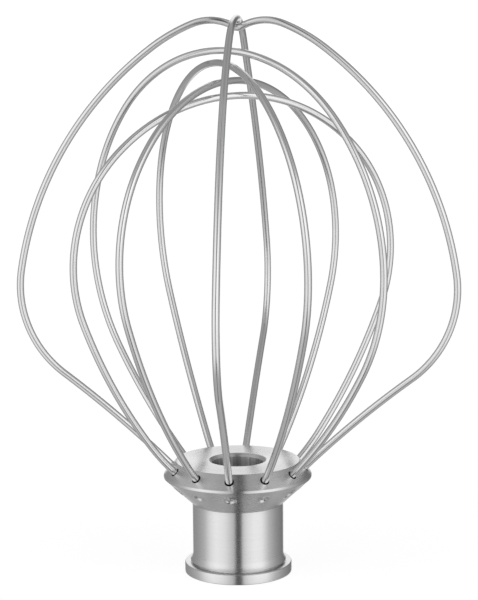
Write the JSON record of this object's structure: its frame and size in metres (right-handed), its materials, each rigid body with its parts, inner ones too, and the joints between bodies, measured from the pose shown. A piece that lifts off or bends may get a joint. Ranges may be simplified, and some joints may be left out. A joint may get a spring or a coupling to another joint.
{
  "type": "whisk attachment",
  "caption": "Balloon whisk for a stand mixer: nested bent wire loops staked into a turned steel hub with a conical head, flanged neck and bayonet socket.",
  "frame": {"origin": "on the hub's axis, in the plane of the flange's flat end face that the whisk stands on", "axes": "+Z along the hub's axis from the flange to the top of the wire cage; +X in the plane of the wide loop that passes under the other at the crown; +Y in the plane of the wide loop that passes over"},
  "size_m": [0.1144, 0.1139, 0.1446],
  "materials": {
    "hub_steel": "satin turned stainless steel",
    "sleeve_steel": "machined stainless steel, unpolished",
    "wire_steel": "smooth drawn stainless wire"
  },
  "bodies": {
    "root": {"hub": "hub_steel", "bayonet_sleeve": "sleeve_steel", "wire_wide_under": "wire_steel", "wire_wide_over": "wire_steel", "wire_round_1": "wire_steel", "wire_round_2": "wire_steel", "wire_round_3": "wire_steel", "wire_round_4": "wire_steel"}
  },
  "joints": []
}
